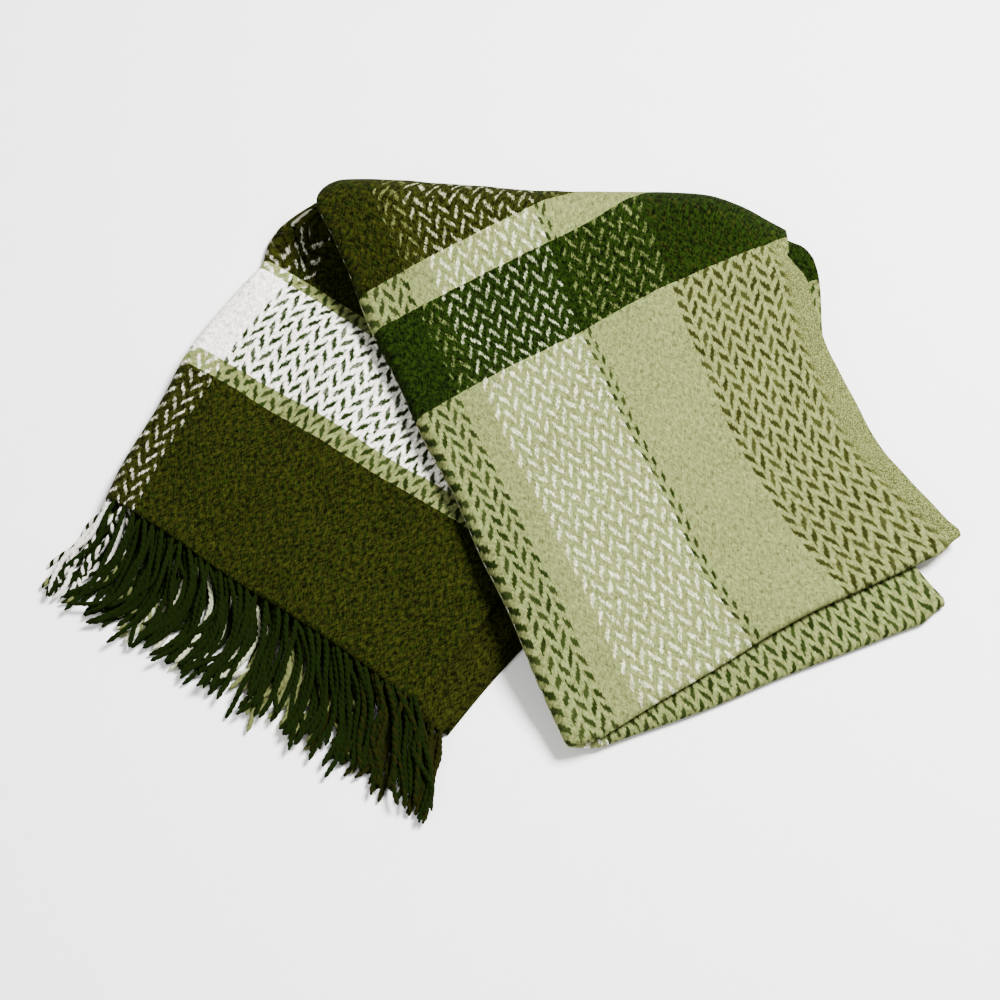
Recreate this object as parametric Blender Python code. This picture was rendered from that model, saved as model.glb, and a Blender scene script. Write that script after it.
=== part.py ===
"""Camp blanket: a brushed wool throw, folded to a strip of eight layers and then folded over once.

The throw lies on its left leg. The right leg crosses over the left one and runs down to the ground.
Metres, +Z up. The origin is on the ground under the middle of the object's box.
"""

import math

import bmesh
import bpy
from mathutils import Vector

# Driving dimensions
CLOTH_THICKNESS = 0.0027
LAYERS = 8
STACK = CLOTH_THICKNESS * LAYERS
BEND_RADIUS = 0.006
GAP = 0.0004
LEG_GAP = 0.001
PACK_GAP = 0.001
TASSELS = 32
TASSEL_RADIUS = 0.0023
TIP_HEIGHT = 0.008
TASSEL_STARTS = 0.028
TASSEL_SHOWS = 0.95
TASSEL_LENGTH_VARIES = 0.04
TASSEL_SWAY = 0.0012
PANELS_PER_LEG = 4

# Grid cells across and along each kind of block.
LEFT_LEG_GRID = (4, 6)
TOP_FOLD_GRID = (4, 8)
RIGHT_LEG_GRID = (10, 14)
FRINGE_GRID = (4, 6)

# Shares of a block's length that leave a gap to its neighbour.
LEFT_LEG_ENDS = 0.998
RIGHT_LEG_STARTS = 0.0015
UPPER_FRINGE_STARTS = 0.006

# The line that the strip is folded over, seen from above: y = FOLD_Y - FOLD_SLOPE * x.
FOLD_Y = 0.2345
FOLD_SLOPE = 0.0523


def on_fold(x):
    return x, FOLD_Y - FOLD_SLOPE * x


# The strip's corners seen from above, for the two packs of four layers that the strip consists of.
# The inner pack is on top on the left leg and below on the right leg.
PACKS = {
    "outer": {
        "fringe": ((-0.316, -0.006), (-0.045, -0.199)),
        "fold_start": (on_fold(-0.178), on_fold(0.236)),
        "fold_end": (on_fold(-0.150), on_fold(0.238)),
        "end": ((0.054, -0.217), (0.368, -0.042)),
        "waist": 0.026,
    },
    "inner": {
        "fringe": ((-0.316, -0.005), (-0.063, -0.176)),
        "fold_start": (on_fold(-0.174), on_fold(0.222)),
        "fold_end": (on_fold(-0.148), on_fold(0.256)),
        "end": ((0.057, -0.216), (0.352, -0.098)),
        "waist": 0.020,
    },
}
FRINGE_TIPS = ((-0.368, -0.080), (-0.057, -0.271))
# The share of the fan where the outer pack's tassels start, at its two sides.
OUTER_FRINGE_START = (0.03, 0.18)
FRINGE_SINKS_FROM = 0.25

# The right leg slides down from the left leg to the ground over this distance.
SLOPE_START = 0.020
SLOPE_LENGTH = 0.140
BEND_SETTLES = 0.070

# Moves the model so that its box is centred on the origin.
TO_CENTRE = Vector((0.0, 0.0003, 0.0))

OLIVE = (0.036, 0.044, 0.006, 1)
PALE_GREEN = (0.40, 0.44, 0.22, 1)
MIXED_GREEN = (0.19, 0.22, 0.09, 1)
FRINGE_GREEN = (0.030, 0.055, 0.010, 1)


def mix(a, b, t):
    return a + (b - a) * t


def smooth(t):
    t = min(max(t, 0.0), 1.0)
    return t * t * (3 - 2 * t)


def between(edge, s):
    """The point a share s of the way along an edge given by its two ends, on the ground."""
    return Vector((mix(edge[0][0], edge[1][0], s), mix(edge[0][1], edge[1][1], s), 0))


def away():
    """The level direction that points out of the bend, away from both legs."""
    return Vector((FOLD_SLOPE, 1, 0)).normalized()


def past_left_leg(point):
    """How far a point lies outside the left leg's open edge."""
    corner = Vector((*PACKS["inner"]["fringe"][1], 0))
    edge = (Vector((*PACKS["inner"]["fold_start"][1], 0)) - corner).normalized()
    return (point - corner).dot(Vector((edge.y, -edge.x, 0)))


def rest_height(point):
    """The height of the right leg's underside."""
    off_leg = smooth((past_left_leg(point) - SLOPE_START) / SLOPE_LENGTH)
    fold_point = Vector((*PACKS["outer"]["fold_end"][0], 0))
    from_fold = max(0.0, -(point - fold_point).dot(away()))
    bend = 2 * BEND_RADIUS * (1 - smooth(from_fold / BEND_SETTLES))
    return (STACK + LEG_GAP) * (1 - off_leg) + bend


def left_leg(pack, s, t, h):
    corners = PACKS[pack]
    point = between(corners["fringe"], s).lerp(between(corners["fold_start"], s), t)
    return point + Vector((0, 0, h))


def top_fold(pack, s, t, h):
    corners = PACKS[pack]
    line = between(corners["fold_start"], s).lerp(between(corners["fold_end"], s), t)
    radius = BEND_RADIUS + STACK - h
    angle = math.pi * t
    opened = LEG_GAP + (PACK_GAP if pack == "outer" else 0)
    height = STACK + BEND_RADIUS + opened / 2 * (1 - math.cos(angle)) - radius * math.cos(angle)
    return line + away() * radius * math.sin(angle) + Vector((0, 0, height))


def right_leg(pack, s, t, h):
    corners = PACKS[pack]
    point = between(corners["fold_end"], s).lerp(between(corners["end"], s), t)
    point.x -= corners["waist"] * s * 4 * t * (1 - t)
    apart = PACK_GAP if pack == "outer" else 0
    return point + Vector((0, 0, rest_height(point) + apart + STACK - h))


def fringe(pack, s, t, h):
    """The tassels' fan: t runs from the cloth's edge to the tips, and h sinks towards the ground."""
    if pack == "outer":
        t = mix(OUTER_FRINGE_START[0], OUTER_FRINGE_START[1], s) * (1 - t) + t
    point = between(PACKS["inner"]["fringe"], s).lerp(between(FRINGE_TIPS, s), t)
    sunk = smooth((t - FRINGE_SINKS_FROM) / (1 - FRINGE_SINKS_FROM))
    return point + Vector((0, 0, h * mix(1, TIP_HEIGHT / STACK, sunk)))


def material(name, colour):
    made = bpy.data.materials.new(name)
    made.use_nodes = True
    shader = made.node_tree.nodes["Principled BSDF"]
    shader.inputs["Base Color"].default_value = colour
    shader.inputs["Roughness"].default_value = 0.95
    shader.inputs["Metallic"].default_value = 0.0
    return made


def place_in(collection, obj, colour):
    collection.objects.link(obj)
    obj.data.materials.append(material(obj.name + "_wool", colour))


def slab(name, collection, shape, pack, heights, colour, grid, start=0.0, end=1.0):
    """A closed block of the strip between two heights in the stack, on a grid laid over its shape."""
    mesh = bpy.data.meshes.new(name)
    bm = bmesh.new()
    bmesh.ops.create_grid(bm, x_segments=grid[0], y_segments=grid[1], size=0.5)
    lower = list(bm.verts)
    made = bmesh.ops.extrude_face_region(bm, geom=list(bm.faces))["geom"]
    upper = [v for v in made if isinstance(v, bmesh.types.BMVert)]
    for verts, height in ((lower, heights[0]), (upper, heights[1])):
        for vert in verts:
            t = mix(start, end, vert.co.y + 0.5)
            vert.co = shape(pack, vert.co.x + 0.5, t, height)
    bmesh.ops.recalc_face_normals(bm, faces=list(bm.faces))
    if bm.calc_volume(signed=True) < 0:
        bmesh.ops.reverse_faces(bm, faces=list(bm.faces))
    bm.to_mesh(mesh)
    bm.free()
    obj = bpy.data.objects.new(name, mesh)
    obj.location = TO_CENTRE
    place_in(collection, obj, colour)
    return obj


def tassel(name, collection, s, number):
    """One twisted tassel of the top row, which lies on the rows below it."""
    points = 8
    curve = bpy.data.curves.new(name, "CURVE")
    curve.dimensions = "3D"
    curve.bevel_depth = TASSEL_RADIUS
    curve.bevel_resolution = 2
    curve.use_fill_caps = True
    spline = curve.splines.new("POLY")
    spline.points.add(points - 1)
    sway = TASSEL_SWAY * math.sin(2.1 * number)
    shown = TASSEL_SHOWS + TASSEL_LENGTH_VARIES * math.sin(1.7 * number)
    for i, point in enumerate(spline.points):
        t = mix(TASSEL_STARTS, shown, i / (points - 1))
        place = fringe("inner", s, t, STACK - 2 * TASSEL_RADIUS)
        place.x += sway * math.sin(math.pi * t)
        place.z += TASSEL_RADIUS + GAP
        point.co = (*place, 1)
    obj = bpy.data.objects.new(name, curve)
    obj.location = TO_CENTRE
    place_in(collection, obj, FRINGE_GREEN)
    return obj


def panels():
    """Each panel's number from the ground up on the left leg, its pack and its two heights in the stack."""
    step = STACK / PANELS_PER_LEG
    for number in range(PANELS_PER_LEG):
        pack = "outer" if number < PANELS_PER_LEG // 2 else "inner"
        yield number, pack, number * step + GAP / 2, (number + 1) * step - GAP / 2


def cloth(collection, lifting):
    """Each leg and the bend between them, as panels of two layers each."""
    for number, pack, low, high in panels():
        name = f"left_leg_panel_{number + 1}"
        floor = 0.0 if number == 0 else low
        slab(name, collection, left_leg, pack, (floor, high), OLIVE, LEFT_LEG_GRID, end=LEFT_LEG_ENDS)
    for number, pack, low, high in panels():
        name = f"top_fold_panel_{number + 1}"
        slab(name, collection, top_fold, pack, (low, high), MIXED_GREEN, TOP_FOLD_GRID)
    for number, pack, low, high in panels():
        name = f"right_leg_panel_{PANELS_PER_LEG - number}"
        heights = (low, STACK if number == PANELS_PER_LEG - 1 else high)
        block = (right_leg, pack, heights, PALE_GREEN, RIGHT_LEG_GRID, RIGHT_LEG_STARTS)
        panel = slab(name, collection, *block)
        panel.data.transform(lifting.matrix_world.inverted())
        panel.parent = lifting


def fringes(collection):
    """The tassels of the hidden rows as two mats, and the top row one by one."""
    half = STACK / 2
    top = STACK - 2 * TASSEL_RADIUS - GAP
    lower, upper = (0.0, half - GAP), (half, top)
    slab("fringe_rows_lower", collection, fringe, "outer", lower, FRINGE_GREEN, FRINGE_GRID)
    starts = UPPER_FRINGE_STARTS
    slab("fringe_rows_upper", collection, fringe, "inner", upper, FRINGE_GREEN, FRINGE_GRID, starts)
    for number in range(TASSELS):
        tassel(f"tassel_{number + 1:02d}", collection, (number + 0.5) / TASSELS, number)


def main():
    for obj in list(bpy.data.objects):
        bpy.data.objects.remove(obj)
    collection = bpy.data.collections.new("camp_blanket")
    bpy.context.scene.collection.children.link(collection)
    lifting = bpy.data.objects.new("right_leg_hinge", None)
    hinge_height = 2 * (STACK + BEND_RADIUS) + LEG_GAP + PACK_GAP
    lifting.location = between(PACKS["outer"]["fold_end"], 0.5) + Vector((0, 0, hinge_height))
    collection.objects.link(lifting)
    bpy.context.view_layer.update()
    cloth(collection, lifting)
    fringes(collection)


main()
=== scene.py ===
"""Looks of the camp blanket: a checked, brushed wool throw with a twisted fringe.

The cloth is one web. It is folded in half along its length, in half across, in half along its length
again, and the strip that this gives is folded over once. Two nested sheets, A and B, follow that folding
layer by layer.
Metres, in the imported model's frame.
"""

import math

import bpy
import numpy as np
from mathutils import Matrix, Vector


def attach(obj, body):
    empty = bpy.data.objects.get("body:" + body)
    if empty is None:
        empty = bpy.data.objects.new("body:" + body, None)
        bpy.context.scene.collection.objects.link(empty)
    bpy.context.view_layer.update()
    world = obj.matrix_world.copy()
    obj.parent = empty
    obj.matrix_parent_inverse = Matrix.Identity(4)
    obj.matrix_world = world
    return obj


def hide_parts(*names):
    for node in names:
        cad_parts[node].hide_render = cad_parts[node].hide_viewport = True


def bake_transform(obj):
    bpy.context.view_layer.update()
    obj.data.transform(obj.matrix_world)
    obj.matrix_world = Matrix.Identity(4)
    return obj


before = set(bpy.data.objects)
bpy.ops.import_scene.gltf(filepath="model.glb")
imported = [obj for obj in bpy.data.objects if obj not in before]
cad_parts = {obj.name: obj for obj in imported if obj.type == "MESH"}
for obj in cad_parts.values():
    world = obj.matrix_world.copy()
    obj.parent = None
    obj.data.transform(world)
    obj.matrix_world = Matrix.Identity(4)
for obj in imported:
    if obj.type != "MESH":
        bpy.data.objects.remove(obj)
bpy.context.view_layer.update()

# Cloth and folding, as in the CAD model
CLOTH = 0.0027
STACK = 8 * CLOTH
STRIP_WIDTH = 0.325
HALF_LENGTH = 0.88
LEFT_LENGTH = 0.40
BEND_RADIUS = 0.006
LEG_GAP = 0.001
PACK_GAP = 0.001
SLOPE_START = 0.020
SLOPE_LENGTH = 0.140
BEND_SETTLES = 0.070
TO_CENTRE_Y = 0.0003
FOLD_Y = 0.2345
FOLD_SLOPE = 0.0523


def on_fold(x):
    return x, FOLD_Y - FOLD_SLOPE * x


# Corners of the strip from above, for the outer and the inner pack of four layers. Each line runs from the
# long fold to the open edge.
FRINGE_LINE = np.array([[(-0.316, -0.006), (-0.045, -0.199)], [(-0.316, -0.005), (-0.063, -0.176)]])
FOLD_START = np.array([[on_fold(-0.178), on_fold(0.236)], [on_fold(-0.174), on_fold(0.222)]])
FOLD_END = np.array([[on_fold(-0.150), on_fold(0.238)], [on_fold(-0.148), on_fold(0.256)]])
END_LINE = np.array([[(0.054, -0.217), (0.368, -0.042)], [(0.057, -0.216), (0.352, -0.098)]])
FRINGE_TIPS = np.array([(-0.368, -0.080), (-0.057, -0.271)])
AWAY = np.array([FOLD_SLOPE, 1.0]) / math.hypot(FOLD_SLOPE, 1.0)

# How the soft strip departs from the CAD model's even shape. ACROSS is a share of the way from the long fold
# to the open edge, and ALONG is a share of the way along a leg or the bend.
MOUTH_RADIUS = 0.009
MOUTH_ACROSS = (0.12, 0.60)
MOUTH_LENGTH = 0.125
MOUTH_SQUEEZE = 0.52
SQUEEZE_ENDS_ALONG = 0.28
RIDGE_AT = 0.226
RIDGE_LENGTH = 0.032
BEND_PUFF = 0.008
BEND_PUFF_ACROSS = (-0.25, 1.05)
SHOULDER_PUFF = 0.010
SHOULDER_ACROSS = (0.35, 1.25)
LIP_RETREAT = 0.026
LEFT_EDGE_BOW = 0.013
LEFT_CURL = 0.014
LEFT_CURL_ALONG = (0.84, 1.16)
BEND_CURL_ALONG = (-0.5, 0.5)
SKIRT = 0.026
SKIRT_ACROSS = 0.6
SKIRT_ALONG = (-0.15, 0.90)
SKIRT_THINS = 1.6
OPEN_EDGE_DROP = 0.006
OPEN_EDGE_ACROSS = 0.86
WAIST = np.array([0.034, 0.027])
UNDER_WAIST = 0.021
UNDER_WAIST_FROM = 5
WAIST_TO_ONE = 5.4
WAIST_POWER = 1.5
END_SAG = 0.009
END_SAG_ACROSS = (0, 1.1)
CORNER_ROUND = 0.007
CORNER_ACROSS = 0.07
END_SHAPE_POWER = 4

# The right end of the top fold dips, and draws the cloth along with it.
DIP = 0.020
DIP_ACROSS = 0.84
DIP_POWER = 1.6
DIP_STARTS_ALONG = 0.75
DIP_ENDS_ALONG = 0.20
DIP_FLATTENS = 0.30
DIP_DRAWS_CLOTH = 0.8

# The packs roll over each other at the top fold. Here ALONG is tau, see strip_points.
EDGE_FOLD = 0.0085
EDGE_ROLL = 0.026
EDGE_ROLL_ALONG = (0.70, 1.75)
EDGE_ROLL_REACH = 0.12
GROOVE = 0.007
GROOVE_AT = 0.036
GROOVE_WIDTH = 0.008
GROOVE_ALONG = (0.70, 1.30)
SLIP = 0.040
SLIP_ACROSS = (-0.03, 0.06)
SLIP_ALONG = (0.85, 1.80)

# Soft dents that all layers share: height, wavelength and seed.
SWELLS = ((0.0020, 0.12, 3), (0.0006, 0.034, 5))
SWAY = 0.0018
SWAY_LENGTH = 0.10

# Grid spacings
FINE = 0.0036
MIDDLING = 0.006
INNER = 0.008
COARSE = 0.012
ROLL_SPACING = 0.0015
BEND_LENGTH = 0.08
TURN_STEPS = 6
END_FOLD_STEPS = 10
SHOWN = 0.25


def smooth(t):
    t = np.clip(t, 0, 1)
    return t * t * (3 - 2 * t)


def mix(a, b, t):
    return a + (b - a) * t


def bump(t, low, high):
    """0 outside low to high, and 1 in the middle between them."""
    return np.sin(math.pi * np.clip((t - low) / (high - low), 0, 1)) ** 2


def waves(x, y, length, seed, count=14):
    """Smooth, unrepeated unevenness from -1 to 1 or so: waves of about one length, in random directions."""
    rng = np.random.default_rng(seed)
    total = np.zeros_like(x)
    for _ in range(count):
        turn = rng.uniform(0, 2 * math.pi)
        k = 2 * math.pi / (length * rng.uniform(0.7, 1.5))
        total += np.sin(k * (x * math.cos(turn) + y * math.sin(turn)) + rng.uniform(0, 6.28))
    return total / math.sqrt(count)


# ---------------------------------------------------------------- the folded strip


def along_edge(line, pack, s):
    """Points a share s of the way along a line. Each pack has its own ends; pack is 0 outer to 1 inner."""
    start = mix(line[0, 0], line[1, 0], pack[..., None])
    end = mix(line[0, 1], line[1, 1], pack[..., None])
    return mix(start, end, s[..., None])


def past_left_leg(xy):
    """How far points lie outside the left leg's open edge."""
    corner = FRINGE_LINE[1, 1]
    edge = FOLD_START[1, 1] - corner
    edge = edge / np.hypot(*edge)
    return (xy - corner) @ np.array([edge[1], -edge[0]])


def mouth(s):
    """1 at the long fold, where the bend gapes, and 0 where it lies closed."""
    low, high = MOUTH_ACROSS
    return 1 - smooth((s - low) / (high - low))


def bend_radius(s):
    return mix(BEND_RADIUS, MOUTH_RADIUS, mouth(s))


def skirt(depth, s, left_t):
    """How far the left leg's lower layers spread at the open edge."""
    lower = 1 - smooth(depth * SKIRT_THINS)
    return SKIRT * lower * smooth((s - SKIRT_ACROSS) / (1 - SKIRT_ACROSS)) * bump(left_t, *SKIRT_ALONG)


def curl(s, t, along):
    """How far the long fold bulges out where the left leg goes over into the bend."""
    return LEFT_CURL * np.clip(1 - s, 0, 1) ** 3 * bump(t, *along)


def dip_share(s, tau):
    """How much of the dip at the top fold's right end there is."""
    across = np.clip((s - DIP_ACROSS) / (1 - DIP_ACROSS), 0, 1) ** DIP_POWER
    starts = smooth((tau - DIP_STARTS_ALONG) / (1 - DIP_STARTS_ALONG))
    return across * starts * (1 - smooth((tau - 2) / DIP_ENDS_ALONG))


def rest_height(xy, s):
    """The height of the right leg's underside: on the left leg, then down to the ground."""
    off_leg = smooth((past_left_leg(xy) - SLOPE_START) / SLOPE_LENGTH)
    from_fold = np.maximum(0.0, -(xy - FOLD_END[0, 0]) @ AWAY)
    settles = mix(BEND_SETTLES, MOUTH_LENGTH, mouth(s))
    bend = 2 * bend_radius(s) * (1 - smooth(from_fold / settles))
    return (STACK + LEG_GAP) * (1 - off_leg) + bend


def left_leg_points(start, fringe, s, t, h):
    depth = h / STACK
    xy = mix(fringe, start, t[..., None])
    xy[..., 0] -= LEFT_EDGE_BOW * np.clip(1 - s, 0, 1) ** 2 * np.sin(math.pi * t)
    xy[..., 0] -= curl(s, t, LEFT_CURL_ALONG)
    xy[..., 0] += skirt(depth, s, t)
    drop = OPEN_EDGE_DROP * depth * smooth((s - OPEN_EDGE_ACROSS) / (1 - OPEN_EDGE_ACROSS))
    return xy, h - drop * (1 - t)


def bend_points(start, over, pack, s, t, h):
    depth = h / STACK
    angle = math.pi * t
    radius = bend_radius(s) + STACK - h
    puff = BEND_PUFF * bump(s, *BEND_PUFF_ACROSS) + SHOULDER_PUFF * bump(s, *SHOULDER_ACROSS)
    out = (radius + (1 - depth) * puff) * np.sin(angle)
    xy = mix(start, over, t[..., None]) + AWAY * out[..., None]
    xy[..., 0] += LIP_RETREAT * (1 - depth) * mouth(s) * bump(t, 0, 1)
    xy[..., 0] -= curl(s, t, BEND_CURL_ALONG)
    opened = LEG_GAP + PACK_GAP * (1 - pack)
    return xy, STACK + bend_radius(s) + opened / 2 * (1 - np.cos(angle)) - radius * np.cos(angle)


def right_leg_points(over, end, pack, s, t, h, beyond):
    under = smooth(h / STACK * UNDER_WAIST_FROM) * (1 - pack)
    waist = mix(mix(WAIST[0], WAIST[1], pack), UNDER_WAIST, under)
    xy = mix(over, end, t[..., None])
    xy[..., 0] -= waist * s * WAIST_TO_ONE * t**WAIST_POWER * (1 - t)
    direction = end - over
    length = np.hypot(direction[..., 0], direction[..., 1])
    corners = np.maximum(1 - smooth(s / CORNER_ACROSS), smooth((s - 1 + CORNER_ACROSS) / CORNER_ACROSS))
    sag = END_SAG * (1 - pack) * bump(s, *END_SAG_ACROSS) + CORNER_ROUND * corners
    past = beyond - sag * t**END_SHAPE_POWER
    xy = xy + direction / length[..., None] * past[..., None]
    return xy, rest_height(xy, s) + PACK_GAP * (1 - pack) + STACK - h, length


def strip_points(pack, s, tau, h, beyond):
    """The strip in space, and how far along the cloth each point is from the fringe.

    tau runs from 0 at the fringe over the bend, 1 to 2, to 3 at the end. h is the height in the stack on the
    left leg. beyond is how far a point lies past the end line, where a layer turns round.
    """
    fringe, start = along_edge(FRINGE_LINE, pack, s), along_edge(FOLD_START, pack, s)
    over, end = along_edge(FOLD_END, pack, s), along_edge(END_LINE, pack, s)
    left_t, bend_t, right_t = np.clip(tau, 0, 1), np.clip(tau - 1, 0, 1), np.clip(tau - 2, 0, 1)
    left_length = np.hypot(*np.moveaxis(start - fringe, -1, 0))
    dive = smooth((left_length * left_t - RIDGE_AT) / RIDGE_LENGTH)
    h = h * (1 - MOUTH_SQUEEZE * mouth(s) * dive * (1 - smooth((tau - 2) / SQUEEZE_ENDS_ALONG)))

    left, left_z = left_leg_points(start, fringe, s, left_t, h)
    bend, bend_z = bend_points(start, over, pack, s, bend_t, h)
    right, right_z, right_length = right_leg_points(over, end, pack, s, right_t, h, beyond)
    on_left, on_right = tau <= 1, tau >= 2
    xy = np.where(on_left[..., None], left, np.where(on_right[..., None], right, bend))
    z = np.where(on_left, left_z, np.where(on_right, right_z, bend_z))

    dip = dip_share(s, tau)
    xy[..., 1] -= DIP * dip
    z = z * (1 - DIP_FLATTENS * dip * (1 - h / STACK) * bend_t)
    in_bend = mix(left_length, HALF_LENGTH - right_length, bend_t)
    on_leg = HALF_LENGTH - right_length * (1 - right_t)
    v = np.where(on_left, left_length * left_t, np.where(on_right, on_leg, in_bend))
    return np.concatenate([xy, z[..., None]], -1), v + DIP_DRAWS_CLOTH * DIP * dip


def uneven(points):
    """Soft dents and swells that all layers share, so that they don't cut through each other."""
    x, y, z = np.moveaxis(points, -1, 0)
    raised = np.clip(z / STACK, 0, 1)
    moved = points.copy()
    moved[..., 2] = z + sum(high * waves(x, y, length, seed) for high, length, seed in SWELLS) * raised
    moved[..., 0] = x + SWAY * waves(y, z, SWAY_LENGTH, 7)
    moved[..., 1] = y + SWAY * waves(x, z, SWAY_LENGTH, 9) + TO_CENTRE_Y
    return moved


def lines(*stretches):
    """Grid lines from stretches (start, end, spacing), each joined to the one before."""
    found = [stretches[0][0]]
    for start, end, spacing in stretches:
        count = max(1, round(abs(end - start) / spacing))
        found += [start + (end - start) * i / count for i in range(1, count + 1)]
    return np.array(found)


def across_lines(outer_spacing, inner_spacing, with_turn):
    """Grid lines across a sheet, as p and the turn at its first-fold edge. p < 0 is the outer pack."""
    rolled_to = EDGE_FOLD + EDGE_ROLL
    p = lines(
        (-STRIP_WIDTH, -EDGE_FOLD, outer_spacing),
        (-EDGE_FOLD, rolled_to, ROLL_SPACING),
        (rolled_to, STRIP_WIDTH, inner_spacing),
    )
    turn = np.zeros_like(p)
    if with_turn:
        p = np.concatenate([p, np.full(TURN_STEPS, STRIP_WIDTH)])
        turn = np.concatenate([turn, np.linspace(0, math.pi, TURN_STEPS + 1)[1:]])
    return p, turn


def folded_sheet(name, sheet, p, turn, tau, beta):
    """A sheet on grid lines across it (p, turn) and along it (tau, beta).

    beta is a quarter turn either side of the end fold. Sheet A lies outside sheet B.
    """
    shape = (len(p), len(tau))
    p, turn = (np.broadcast_to(a[:, None], shape) for a in (p, turn))
    tau, beta = (np.broadcast_to(a[None, :], shape) for a in (tau, beta))
    if sheet == "A":
        offset = 1.5 * CLOTH - 0.5 * CLOTH * (1 - np.cos(turn))
    else:
        offset = np.full(shape, 0.5 * CLOTH)
    radius = STACK / 4 + offset * np.sin(beta)
    rolled = p - EDGE_ROLL * bump(tau, *EDGE_ROLL_ALONG) * (1 - smooth(np.abs(p) / EDGE_ROLL_REACH))
    fold = np.clip(rolled / EDGE_FOLD, -1, 1) * math.pi / 2
    pack = 0.5 + 0.5 * np.sin(fold)
    u = np.maximum(np.abs(rolled) - EDGE_FOLD, 0) - radius * np.cos(fold) + EDGE_FOLD
    u = u + 0.5 * CLOTH * np.sin(turn)
    h = STACK / 2 + radius * np.sin(fold)
    if sheet == "A":
        groove = np.exp(-(((p - GROOVE_AT) / GROOVE_WIDTH) ** 2)) * bump(tau, *GROOVE_ALONG)
        h = h - GROOVE * groove * (beta > 0)
    points, v = strip_points(pack, u / STRIP_WIDTH, tau, h, offset * np.cos(beta))
    v = v - SLIP * bump(p, *SLIP_ACROSS) * bump(tau, *SLIP_ALONG) + offset * (math.pi / 2 - np.abs(beta))
    across = p + 0.5 * CLOTH * turn if sheet == "A" else 2 * STRIP_WIDTH - p
    return grid_mesh(name, uneven(points), across, v)


def grid_mesh(name, points, u, v):
    rows, columns = points.shape[:2]
    corner = (np.arange(rows - 1)[:, None] * columns + np.arange(columns - 1)[None, :]).ravel()
    faces = np.stack([corner, corner + 1, corner + columns + 1, corner + columns], 1)
    mesh = bpy.data.meshes.new(name)
    mesh.from_pydata(points.reshape(-1, 3).tolist(), [], faces.tolist())
    layer = mesh.uv_layers.new(name="cloth")
    loops = faces.ravel()
    uv = np.stack([u.ravel()[loops], v.ravel()[loops]], 1)
    layer.data.foreach_set("uv", uv.astype(np.float32).ravel())
    mesh.shade_smooth()
    obj = bpy.data.objects.new(name, mesh)
    bpy.context.scene.collection.objects.link(obj)
    return obj


def thicken(obj):
    """Gives a sheet the cloth's thickness, less a hair so that layers stay apart."""
    solid = obj.modifiers.new("cloth", "SOLIDIFY")
    solid.thickness = 0.9 * CLOTH
    solid.offset = 0
    return obj


def left_leg_sheets():
    """The left leg's four sheets from the ground up."""
    plans = {
        "left_leg_outer_cloth": ("A", 1, COARSE, FINE),
        "left_leg_second_cloth": ("B", 1, COARSE, COARSE),
        "left_leg_third_cloth": ("B", -1, COARSE, COARSE),
        "left_leg_inner_cloth": ("A", -1, MIDDLING, COARSE),
    }
    made = {}
    for name, (sheet, side, outer, inner) in plans.items():
        p, turn = across_lines(outer, inner, sheet == "A")
        tau = lines((0.0, 1.0, min(outer, inner) / LEFT_LENGTH))
        beta = np.full_like(tau, side * math.pi / 2)
        made[name] = thicken(folded_sheet(name, sheet, p, turn, tau, beta))
    return made


def right_leg_sheets():
    """The top fold and the right leg, as two sheets that go out to the end fold and back."""
    made = {}
    plans = {"right_leg_outer_cloth": ("A", FINE, FINE), "right_leg_inner_cloth": ("B", INNER, COARSE)}
    for name, (sheet, fine, inner) in plans.items():
        p, turn = across_lines(fine, inner, sheet == "A")
        along_leg = fine / LEFT_LENGTH
        out = lines((1.0, 2.0, fine / BEND_LENGTH), (2.0, 3.0, along_leg))
        back = lines((3.0, 3.0 - SHOWN, along_leg), (3.0 - SHOWN, 2.0, 0.02), (2.0, 1.0, 0.06))
        turn_round = np.linspace(math.pi / 2, -math.pi / 2, END_FOLD_STEPS + 1)[1:-1]
        tau = np.concatenate([out, np.full_like(turn_round, 3.0), back])
        quarter = math.pi / 2
        beta = np.concatenate([np.full_like(out, quarter), turn_round, np.full_like(back, -quarter)])
        made[name] = thicken(folded_sheet(name, sheet, p, turn, tau, beta))
    return made


# ---------------------------------------------------------------- materials


class Graph:
    """Short calls for building a node material."""

    def __init__(self, name):
        self.material = bpy.data.materials.new(name)
        self.material.use_nodes = True
        self.tree = self.material.node_tree
        self.shader = self.tree.nodes["Principled BSDF"]

    def node(self, kind, inputs=(), **settings):
        made = self.tree.nodes.new(kind)
        for key, value in settings.items():
            setattr(made, key, value)
        for key, value in dict(inputs).items():
            self.put(made.inputs[key], value)
        return made

    def put(self, socket, value):
        if isinstance(value, bpy.types.NodeSocket):
            self.tree.links.new(value, socket)
        else:
            socket.default_value = value

    def math(self, operation, *values):
        made = self.tree.nodes.new("ShaderNodeMath")
        made.operation = operation
        for socket, value in zip(made.inputs, values):
            self.put(socket, value)
        return made.outputs[0]

    def noise(self, vector, scale, detail=2.0, roughness=0.5):
        inputs = {"Vector": vector, "Scale": scale, "Detail": detail, "Roughness": roughness}
        return self.node("ShaderNodeTexNoise", inputs).outputs["Fac"]

    def mix_colour(self, factor, a, b, blend="MIX"):
        made = self.node("ShaderNodeMix", data_type="RGBA", blend_type=blend)
        self.put(made.inputs[0], factor)
        self.put(made.inputs[6], a)
        self.put(made.inputs[7], b)
        return made.outputs[2]

    def step(self, value, edge, softness):
        """0 below the edge and 1 above it, with a soft change between."""
        made = self.node("ShaderNodeMapRange", interpolation_type="SMOOTHSTEP")
        self.put(made.inputs["Value"], value)
        self.put(made.inputs["From Min"], edge - softness)
        self.put(made.inputs["From Max"], edge + softness)
        return made.outputs["Result"]


GAMMA = 2.2


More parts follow.
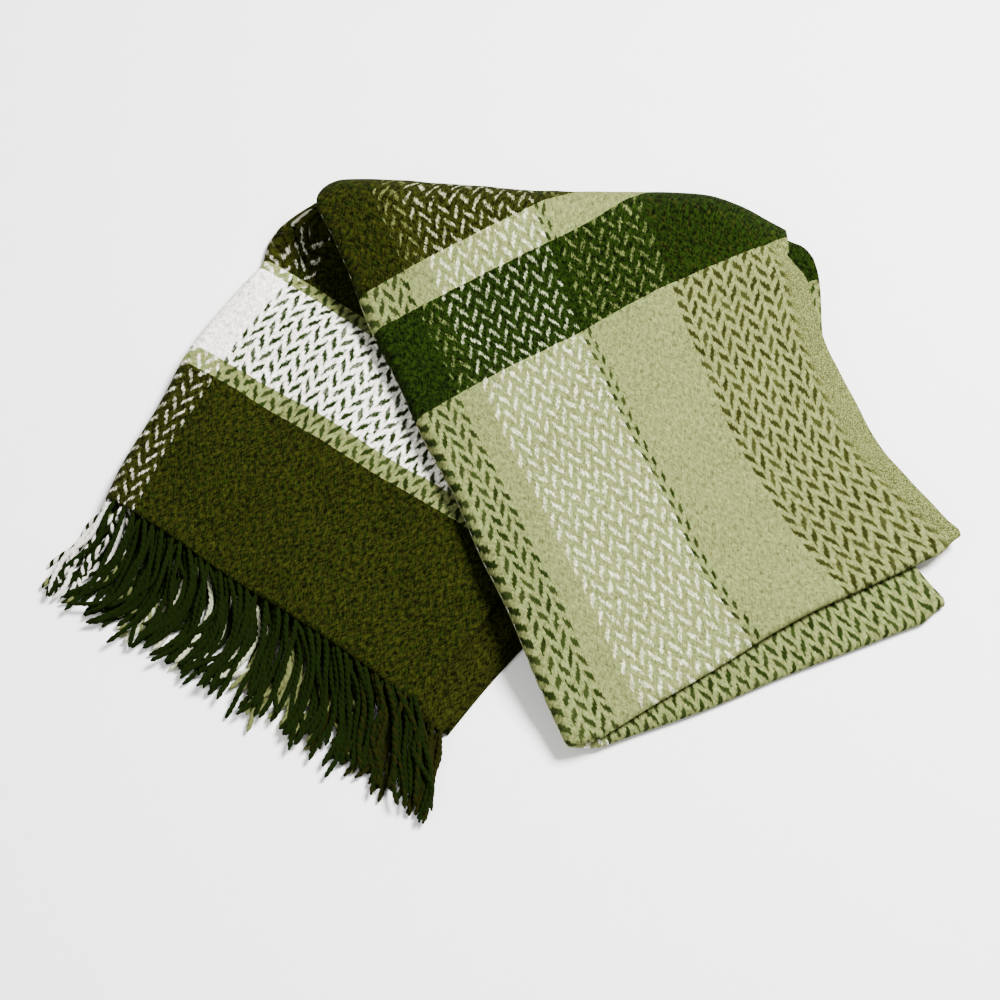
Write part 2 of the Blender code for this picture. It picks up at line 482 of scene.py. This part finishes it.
def wool(red, green, blue):
    """A wool's colour, stored so that mixes of two wools look even."""
    return (red ** (1 / GAMMA), green ** (1 / GAMMA), blue ** (1 / GAMMA), 1)


CREAM = wool(0.74, 0.715, 0.64)
PALE = wool(0.113, 0.128, 0.043)
STRAW = wool(0.48, 0.50, 0.33)
OLIVE = wool(0.0082, 0.0095, 0.0010)
DARK = wool(0.0038, 0.0088, 0.0008)
BROWN_GREEN = wool(0.0092, 0.0100, 0.0012)

# Where each warp stripe starts across the cloth, from the outer pack's open edge, and its wool.
WARP = [
    (-0.325, BROWN_GREEN),
    (-0.227, PALE),
    (-0.1578, DARK),
    (-0.1500, STRAW),
    (-0.058, PALE),
    (-0.038, DARK),
    (-0.0015, CREAM),
    (0.028, DARK),
    (0.325, BROWN_GREEN),
    (0.345, DARK),
    (0.600, CREAM),
    (0.640, DARK),
    (0.800, PALE),
    (0.880, BROWN_GREEN),
]
# Where each weft band starts along the cloth, from the fringe.
WEFT = [
    (0.0, OLIVE),
    (0.139, PALE),
    (0.157, CREAM),
    (0.243, PALE),
    (0.254, OLIVE),
    (0.467, PALE),
    (0.500, DARK),
    (0.585, PALE),
]
SELVEDGE_FROM_MIDDLE = 0.637
MIDDLE_OF_CLOTH = 0.325
SELVEDGE_EDGE = 0.004

# The weave: columns of slanted floats, each over a few warp ends.
REPEAT_ACROSS = 0.0162
REPEAT_ALONG = 0.0145
ENDS_PER_COLUMN = 7
COLUMN_SHARE = 0.40
COLUMN_EDGE = 0.05
FLOAT_SLOPE = 0.88
FLOAT_EDGE = 0.08
FLOAT_RAGGED = 0.16
# The share of a row's repeat that a float takes, and how it changes with the lightness of the two wools.
FLOAT_SHARE = 0.32
FLOAT_SHARE_BY_WARP = -0.12
FLOAT_SHARE_BY_WEFT = 0.42
FLOAT_SHARE_MOST = 0.49
# How well a float covers the weft: at least, more at random, and less on a dark weft.
COVER = 0.64
COVER_VARIES = 0.25
COVER_ON_DARK = 0.57
COVER_BY_WEFT = 0.90
COVER_MOST = 1.15
SELVEDGE_COVER = 0.8
SELVEDGE_SHARE = 0.52
# Yarns wander off their line.
WANDER = 0.0021
WANDER_SCALE = 420.0
# The nap: fine streaks of fibre at an angle either way, mottle and broad patches.
STREAK_ANGLE = 0.50
STREAK_WIDTH = 0.0013
STREAK_LENGTH = 0.0055
MOTTLE_SCALE = 300.0
PATCH_SCALE = 25.0
GRAIN_SCALE = 900.0
NAP_RELIEF = 0.0009
YARN_RELIEF = 0.0007


def stripes(graph, value, bands):
    colour = bands[0][1]
    for start, wool in bands[1:]:
        colour = graph.mix_colour(graph.math("GREATER_THAN", value, start), colour, wool)
    return colour


def random_by(graph, a, b):
    """A steady random value for each pair of whole numbers."""
    pair = graph.node("ShaderNodeCombineXYZ", {"X": a, "Y": b}).outputs[0]
    return graph.node("ShaderNodeTexWhiteNoise", {"Vector": pair}, noise_dimensions="2D").outputs["Value"]


def shaded(graph, colour, tone):
    colour = graph.node("ShaderNodeGamma", {"Color": colour, "Gamma": GAMMA}).outputs[0]
    shade = graph.node("ShaderNodeCombineColor", {"Red": tone, "Green": tone, "Blue": tone})
    return graph.mix_colour(1.0, colour, shade.outputs["Color"], "MULTIPLY")


def streaks(graph, vector, turn):
    """Fine streaks of fibre lying at an angle to the warp."""
    turned = graph.node("ShaderNodeVectorRotate", {"Vector": vector, "Angle": turn}, rotation_type="Z_AXIS")
    stretch = graph.node("ShaderNodeVectorMath", {0: turned.outputs[0]}, operation="MULTIPLY")
    stretch.inputs[1].default_value = (1 / STREAK_WIDTH, 1 / STREAK_LENGTH, 1)
    return graph.noise(stretch.outputs[0], 1.0, 2.0, 0.6)


def wool_finish(graph, colour, height, distance):
    """Matt brushed wool: rough, with a soft sheen of loose fibres."""
    graph.put(graph.shader.inputs["Base Color"], colour)
    graph.put(graph.shader.inputs["Roughness"], 0.95)
    graph.put(graph.shader.inputs["Specular IOR Level"], 0.015)
    graph.put(graph.shader.inputs["Sheen Weight"], 0.012)
    graph.put(graph.shader.inputs["Sheen Roughness"], 0.6)
    graph.put(graph.shader.inputs["Sheen Tint"], (0.60, 0.75, 0.20, 1))
    bumped = graph.node("ShaderNodeBump", {"Height": height, "Strength": 1.0, "Distance": distance})
    graph.put(graph.shader.inputs["Normal"], bumped.outputs["Normal"])


def wandering(graph, uv):
    """Places on the cloth, moved a little so that yarns don't lie ruler-straight."""
    noise_inputs = {"Vector": uv, "Scale": WANDER_SCALE, "Detail": 3.0, "Roughness": 0.6}
    wander = graph.node("ShaderNodeTexNoise", noise_inputs)
    shift = graph.node("ShaderNodeVectorMath", {0: wander.outputs["Color"]}, operation="SUBTRACT")
    shift.inputs[1].default_value = (0.5, 0.5, 0.5)
    scaled = graph.node("ShaderNodeVectorMath", {0: shift.outputs[0], "Scale": WANDER}, operation="SCALE")
    moved = graph.node("ShaderNodeVectorMath", {0: uv, 1: scaled.outputs[0]}, operation="ADD")
    split = graph.node("ShaderNodeSeparateXYZ", {"Vector": moved.outputs[0]})
    return split.outputs["X"], split.outputs["Y"]


def green_of(graph, colour):
    return graph.node("ShaderNodeSeparateColor", {"Color": colour}).outputs["Green"]


def broken_twill(graph, u, v, warp_light, weft_light):
    """Where a float of warp lies on top, how well it covers, and the groove between two warp ends."""
    columns = graph.math("DIVIDE", u, REPEAT_ACROSS / 2)
    column = graph.math("FLOOR", columns)
    ends = graph.math("MULTIPLY", graph.math("FRACT", columns), ENDS_PER_COLUMN)
    end = graph.math("FLOOR", ends)
    in_end = graph.math("ABSOLUTE", graph.math("SUBTRACT", graph.math("FRACT", ends), 0.5))
    odd = graph.math("MODULO", graph.math("ABSOLUTE", column), 2.0)
    lean = graph.math("SUBTRACT", 1.0, graph.math("MULTIPLY", odd, 2.0))
    middle = 0.5 - 0.5 / ENDS_PER_COLUMN
    from_middle = graph.math("SUBTRACT", graph.math("DIVIDE", end, ENDS_PER_COLUMN), middle)
    slope = graph.math("MULTIPLY", graph.math("MULTIPLY", from_middle, FLOAT_SLOPE), lean)
    along = graph.math("SUBTRACT", graph.math("DIVIDE", v, REPEAT_ALONG), slope)
    along = graph.math("ADD", along, graph.math("MULTIPLY", odd, 0.5))
    row = graph.math("FLOOR", along)
    yarn = graph.math("ADD", graph.math("MULTIPLY", column, ENDS_PER_COLUMN), end)
    ragged = graph.math("SUBTRACT", random_by(graph, yarn, row), 0.5)
    ragged = graph.math("MULTIPLY", ragged, FLOAT_RAGGED)
    phase = graph.math("ADD", graph.math("FRACT", along), ragged)
    phase = graph.math("ABSOLUTE", graph.math("SUBTRACT", phase, 0.5))

    share = graph.math("MULTIPLY_ADD", warp_light, FLOAT_SHARE_BY_WARP, FLOAT_SHARE)
    share = graph.math("MULTIPLY_ADD", weft_light, FLOAT_SHARE_BY_WEFT, share)
    half_share = graph.math("MULTIPLY", graph.math("MINIMUM", share, FLOAT_SHARE_MOST), 0.5)
    off_float = graph.step(graph.math("SUBTRACT", phase, half_share), 0.0, FLOAT_EDGE)
    off_column = graph.step(graph.math("ABSOLUTE", from_middle), COLUMN_SHARE, COLUMN_EDGE)
    in_float = graph.math("SUBTRACT", 1.0, off_float)
    warp_up = graph.math("MULTIPLY", in_float, graph.math("SUBTRACT", 1.0, off_column))

    coverage = graph.math("MULTIPLY_ADD", random_by(graph, column, row), COVER_VARIES, COVER)
    covered = graph.math("MULTIPLY_ADD", weft_light, COVER_BY_WEFT, COVER_ON_DARK)
    coverage = graph.math("MULTIPLY", coverage, graph.math("MINIMUM", covered, COVER_MOST))
    return warp_up, coverage, in_end


def checked_wool():
    """Broken twill: floats of warp lie on the weft in columns that lean left and right by turns."""
    graph = Graph("checked_wool")
    uv = graph.node("ShaderNodeUVMap", uv_map="cloth").outputs["UV"]
    u, v = wandering(graph, uv)
    warp, weft = stripes(graph, u, WARP), stripes(graph, v, WEFT)
    warp_up, coverage, in_end = broken_twill(graph, u, v, green_of(graph, warp), green_of(graph, weft))

    fibres = graph.math("ADD", streaks(graph, uv, STREAK_ANGLE), streaks(graph, uv, -STREAK_ANGLE))
    mottle = graph.noise(uv, MOTTLE_SCALE, 3.0, 0.6)
    patches = graph.noise(uv, PATCH_SCALE, 2.0, 0.5)
    grain = graph.noise(uv, GRAIN_SCALE, 1.0, 0.5)

    # Towards the selvedges the floats give way to a fine grain.
    from_middle = graph.math("ABSOLUTE", graph.math("SUBTRACT", u, MIDDLE_OF_CLOTH))
    selvedge = graph.step(from_middle, SELVEDGE_FROM_MIDDLE, SELVEDGE_EDGE)
    warp_up = graph.math("MULTIPLY", warp_up, graph.math("SUBTRACT", 1.0, selvedge))
    grain_up = graph.math("MULTIPLY", graph.step(grain, SELVEDGE_SHARE, 0.04), selvedge)
    shown = graph.math("ADD", warp_up, graph.math("MULTIPLY", grain_up, SELVEDGE_COVER))
    shown = graph.math("MULTIPLY", shown, coverage)

    # The nap of the weft hides a float in places.
    worn = graph.math("ADD", graph.math("MULTIPLY", fibres, 1.9), graph.math("MULTIPLY", mottle, 0.9))
    shown = graph.math("MULTIPLY", shown, graph.math("SUBTRACT", worn, 1.28))
    shown = graph.math("MAXIMUM", graph.math("MINIMUM", shown, 1.0), 0.0)
    colour = graph.mix_colour(shown, weft, warp)

    # Tone of the nap around 1, stronger on dark wool, with painted shade that darkens the grooves between
    # warp ends.
    groove_shade_and_depth = graph.math("MULTIPLY", graph.math("MULTIPLY", in_end, warp_up), 0.55)
    tone = graph.math("ADD", graph.math("MULTIPLY", fibres, 2.7), graph.math("MULTIPLY", mottle, 2.2))
    tone = graph.math("ADD", tone, graph.math("MULTIPLY", patches, 0.35))
    # Painted shade: the grooves between warp ends are made darker in the colour here.
    tone = graph.math("SUBTRACT", graph.math("SUBTRACT", tone, groove_shade_and_depth), 3.97)
    contrast = graph.math("MAXIMUM", graph.math("MULTIPLY_ADD", green_of(graph, colour), -3.4, 1.95), 0.6)
    tone = graph.math("MAXIMUM", graph.math("MULTIPLY_ADD", tone, contrast, 1.0), 0.15)

    height = graph.math("ADD", graph.math("MULTIPLY", warp_up, 0.50), graph.math("MULTIPLY", fibres, 0.45))
    height = graph.math("ADD", height, graph.math("MULTIPLY", mottle, 0.60))
    height = graph.math("SUBTRACT", height, graph.math("MULTIPLY", groove_shade_and_depth, 0.5))
    wool_finish(graph, shaded(graph, colour, tone), height, NAP_RELIEF)
    return graph.material


def fringe_wool():
    """The twisted tassels, each in the wool of the warp stripe that it grows from."""
    graph = Graph("fringe_wool")
    uv = graph.node("ShaderNodeUVMap", uv_map="cloth").outputs["UV"]
    split = graph.node("ShaderNodeSeparateXYZ", {"Vector": uv})
    place = graph.node("ShaderNodeNewGeometry").outputs["Position"]
    fibres = graph.noise(place, 1500.0, 3.0, 0.7)
    mottle = graph.noise(place, 200.0, 3.0, 0.6)
    tone = graph.math("ADD", graph.math("MULTIPLY", fibres, 0.9), graph.math("MULTIPLY", mottle, 0.6))
    colour = shaded(graph, stripes(graph, split.outputs["X"], WARP), tone)
    height = graph.math("ADD", fibres, graph.math("MULTIPLY", mottle, 0.5))
    wool_finish(graph, colour, height, YARN_RELIEF)
    return graph.material


# ---------------------------------------------------------------- fringe

ROWS = 8
TASSELS = 32
TASSEL_RADIUS = 0.0023
PLY_RADIUS = 0.0017
TWIST_RADIUS = 0.00062
TWIST_PITCH = 0.0105
PLY_SPREAD = 0.014
SHEET_B_ROWS = (1, 2, 5, 6)
# Rows from this one up lie on top of the pile.
TOP_ROWS = 5
# Where the tassels' wools come from across the cloth, in metres past their own place, and how much they mix.
FRINGE_SHIFT = 0.012
TOP_ROWS_SHIFT = 0.022
FRINGE_MIXING = 0.018
STAGGER = 0.27
PILE_HEIGHT = 0.0105
# Tassels lean together in clumps of about this many.
CLUMP = 3.2
FAN_SPREAD = 0.020
# Lengths as shares of the way to the tips' line.
TASSEL_LENGTHS = (0.80, 1.05)
LOWER_ROWS_LENGTH = 0.95
LONG_TASSEL = 1.20
LONG_TASSEL_CHANCE = 0.06
# Sideways bow at the fringe's two ends, and wave, in metres.
BOW = (0.021, 0.004)
BOW_SPREAD = 0.004
WAVE = 0.0026
RINGS = 44
PLY_SIDES = 6


def clump_pull(rng, s):
    """How far a tassel's tip moves along the fan to meet its neighbours'."""
    place = s * TASSELS / CLUMP
    middle = (math.floor(place) + 0.5) * CLUMP / TASSELS
    return (middle - s) * rng.uniform(0.0, 0.8)


def tassel_line(rng, pack, s, h, row):
    """The centre line of one tassel: out of the cloth's edge, down on to the rows below, in its own bend."""
    root = along_edge(FRINGE_LINE, np.array(float(pack)), np.array(s))
    root[0] += skirt(h / STACK, s, 0.0)
    root_inner = along_edge(FRINGE_LINE, np.array(1.0), np.array(s))
    fan = s + clump_pull(rng, s) + rng.normal(0, FAN_SPREAD)
    reach = (mix(FRINGE_TIPS[0], FRINGE_TIPS[1], fan) - root_inner) * rng.uniform(*TASSEL_LENGTHS)
    reach = reach * (LOWER_ROWS_LENGTH if row < TOP_ROWS else 1.0)
    reach = reach * (LONG_TASSEL if rng.random() < LONG_TASSEL_CHANCE else 1.0)
    reach = reach - (root - root_inner) * 0.8
    side = np.array([-reach[1], reach[0]]) / np.hypot(*reach)

    t = np.linspace(-0.05, 1.0, RINGS)
    bow = mix(*BOW, s) * smooth(s / 0.16 + 0.1) * rng.uniform(0.4, 1.3) + rng.normal(0, BOW_SPREAD)
    wave = rng.normal(0, WAVE)
    turn = rng.uniform(0, 2 * math.pi)
    sideways = bow * np.sin(math.pi * np.clip(t, 0, 1)) + wave * np.sin(8.5 * t + turn) * smooth(t * 2.2)
    xy = root + t[:, None] * reach + sideways[:, None] * side

    lying = TASSEL_RADIUS + PILE_HEIGHT * (row / ROWS) * rng.uniform(0.6, 1.0)
    z = mix(h, lying, smooth((t - 0.01) / 0.85))
    z = z - 0.0012 * (1 - smooth(t / 0.05)) + 0.0015 * rng.uniform(-0.3, 1) * bump(t, 0, 1)
    return uneven(np.column_stack([xy, np.maximum(z, TASSEL_RADIUS)]))


def twisted(line, turn):
    """Two plies twisted round each other along a line, as rings of points for two tubes."""
    step = np.gradient(line, axis=0)
    length = np.concatenate([[0], np.cumsum(np.linalg.norm(np.diff(line, axis=0), axis=1))])
    forward = step / np.linalg.norm(step, axis=1)[:, None]
    side = np.cross(forward, [0, 0, 1.0])
    side /= np.linalg.norm(side, axis=1)[:, None]
    up = np.cross(side, forward)
    ends = smooth((length[-1] - length) / 0.004) * mix(0.5, 1.0, smooth(length / 0.012))
    tubes = []
    for ply in range(2):
        angle = 2 * math.pi * length / TWIST_PITCH + turn + math.pi * ply
        around = np.cos(angle)[:, None] * side + np.sin(angle)[:, None] * up
        centre = line + around * (TWIST_RADIUS * mix(0.6, 1.0, ends))[:, None]
        radius = PLY_RADIUS * mix(0.35, 1.0, ends)
        ring = np.linspace(0, 2 * math.pi, PLY_SIDES, endpoint=False)[None, :, None]
        spread = np.cos(ring) * side[:, None, :] + np.sin(ring) * up[:, None, :]
        tubes.append(centre[:, None, :] + spread * radius[:, None, None])
    return tubes


def tube_faces(rings, sides):
    r, k = np.meshgrid(np.arange(rings - 1), np.arange(sides), indexing="ij")
    after = (k + 1) % sides
    quads = np.stack([r * sides + k, r * sides + after, (r + 1) * sides + after, (r + 1) * sides + k], -1)
    caps = [tuple(range(sides - 1, -1, -1)), tuple((rings - 1) * sides + i for i in range(sides))]
    return [tuple(q) for q in quads.reshape(-1, 4).tolist()] + caps


def tassel_object(name, tassels):
    """One object from tassels given as (line, twist, place across the cloth)."""
    points, faces, us, vs = [], [], [], []
    for line, turn, across in tassels:
        for ply, tube in enumerate(twisted(line, turn)):
            rings, sides = tube.shape[:2]
            start = sum(len(p) for p in points)
            points.append(tube.reshape(-1, 3))
            faces += [tuple(start + i for i in face) for face in tube_faces(rings, sides)]
            us.append(np.full(rings * sides, across + (ply - 0.5) * PLY_SPREAD))
            vs.append(np.repeat(np.linspace(0, -0.09, rings), sides))
    mesh = bpy.data.meshes.new(name)
    mesh.from_pydata(np.concatenate(points).tolist(), [], faces)
    layer = mesh.uv_layers.new(name="cloth")
    loops = np.array([i for face in faces for i in face])
    uv = np.stack([np.concatenate(us)[loops], np.concatenate(vs)[loops]], 1)
    layer.data.foreach_set("uv", uv.astype(np.float32).ravel())
    mesh.shade_smooth()
    obj = bpy.data.objects.new(name, mesh)
    bpy.context.scene.collection.objects.link(obj)
    return obj


def fringe():
    """The rows of tassels, one for each layer. The top row's are pieces of their own, as in CAD."""
    rng = np.random.default_rng(21)
    rows = []
    for row in range(ROWS):
        pack = 0 if row < ROWS / 2 else 1
        tassels = []
        for number in range(TASSELS):
            s = (number + 0.5 + STAGGER * (row % 4 - 1.5)) / TASSELS + rng.uniform(-0.005, 0.005)
            line = tassel_line(rng, pack, s, (row + 0.5) * CLOTH, row)
            across = (1 if pack else -1) * s * STRIP_WIDTH + FRINGE_SHIFT
            across += rng.normal(0, FRINGE_MIXING) if row < TOP_ROWS else TOP_ROWS_SHIFT
            if row in SHEET_B_ROWS:
                across = 2 * STRIP_WIDTH - across
            tassels.append((line, rng.uniform(0, 6.28), across))
        if row < ROWS - 1:
            rows.append([tassel_object(f"fringe_row_{row + 1}", tassels)])
        else:
            rows.append([tassel_object(f"wool_tassel_{i + 1:02d}", [t]) for i, t in enumerate(tassels)])
    return rows


# ---------------------------------------------------------------- stage

CAMERA_ELEVATION = math.radians(66)
CAMERA_DISTANCE = 2.0
PICTURE_WIDTH = 0.81
SENSOR_WIDTH = 36
FLOOR_SIZE = 8
FLOOR_HEIGHT = -0.0004
WORLD_STRENGTH = 0.66
# Name, place, size in metres and power in watts.
LIGHTS = (("key", (1.0, 0.55, 1.9), 0.8, 250), ("fill", (-1.5, -0.9, 1.7), 1.6, 28))


def camera():
    data = bpy.data.cameras.new("camera")
    data.sensor_width = SENSOR_WIDTH
    data.lens = SENSOR_WIDTH * CAMERA_DISTANCE / PICTURE_WIDTH
    obj = bpy.data.objects.new("camera", data)
    back = Vector((0, -math.cos(CAMERA_ELEVATION), math.sin(CAMERA_ELEVATION)))
    obj.location = back * CAMERA_DISTANCE + Vector((0, TO_CENTRE_Y, 0))
    obj.rotation_euler = back.to_track_quat("Z", "Y").to_euler()
    bpy.context.scene.collection.objects.link(obj)
    bpy.context.scene.camera = obj


def area_light(name, place, size, power):
    data = bpy.data.lights.new(name, "AREA")
    data.shape = "DISK"
    data.size = size
    data.energy = power
    obj = bpy.data.objects.new(name, data)
    obj.location = place
    obj.rotation_euler = Vector(place).to_track_quat("Z", "Y").to_euler()
    bpy.context.scene.collection.objects.link(obj)


def stage():
    bpy.ops.mesh.primitive_plane_add(size=FLOOR_SIZE)
    floor = bpy.context.object
    floor.name = "floor"
    floor.location.z = FLOOR_HEIGHT
    graph = Graph("floor_paper")
    place = graph.node("ShaderNodeNewGeometry").outputs["Position"]
    grain = graph.noise(place, 30.0)
    colour = graph.mix_colour(grain, (0.86, 0.86, 0.85, 1), (0.90, 0.90, 0.89, 1))
    graph.put(graph.shader.inputs["Base Color"], colour)
    graph.put(graph.shader.inputs["Roughness"], 0.9)
    floor.data.materials.append(graph.material)
    world = bpy.data.worlds.new("studio")
    world.use_nodes = True
    background = world.node_tree.nodes["Background"]
    background.inputs["Color"].default_value = (1, 1, 1, 1)
    background.inputs["Strength"].default_value = WORLD_STRENGTH
    bpy.context.scene.world = world
    for light in LIGHTS:
        area_light(*light)


# ---------------------------------------------------------------- assembly

# The CAD panels of the right leg and of the top fold that each of the right leg's sheets stands for.
PANELS_OF = {"right_leg_outer_cloth": (1, 4), "right_leg_inner_cloth": (2, 3)}


def finish_pieces(pieces, material):
    for obj in pieces:
        obj.data.materials.append(material)


def set_moving(left, right, tassels):
    """The left leg and the fringe go with the left leg's body. The right leg's sheets get their placement
    baked into their meshes.
    """
    for obj in [*tassels, *left.values()]:
        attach(obj, "left_leg")
    for obj in right.values():
        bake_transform(obj)


def replace_cad_nodes(left, rows):
    for number, obj in enumerate(left.values()):
        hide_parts(f"left_leg_panel_{number + 1}")
    for name, numbers in PANELS_OF.items():
        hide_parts(*[f"right_leg_panel_{i}" for i in numbers])
        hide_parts(*[f"top_fold_panel_{i}" for i in numbers])
    for number, obj in enumerate(rows[-1]):
        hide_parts(f"tassel_{number + 1:02d}")
    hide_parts("fringe_rows_lower")
    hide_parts("fringe_rows_upper")


def main():
    camera()
    stage()
    left, right, rows = left_leg_sheets(), right_leg_sheets(), fringe()
    tassels = [obj for row in rows for obj in row]
    finish_pieces([*left.values(), *right.values()], checked_wool())
    finish_pieces(tassels, fringe_wool())
    set_moving(left, right, tassels)
    replace_cad_nodes(left, rows)


main()
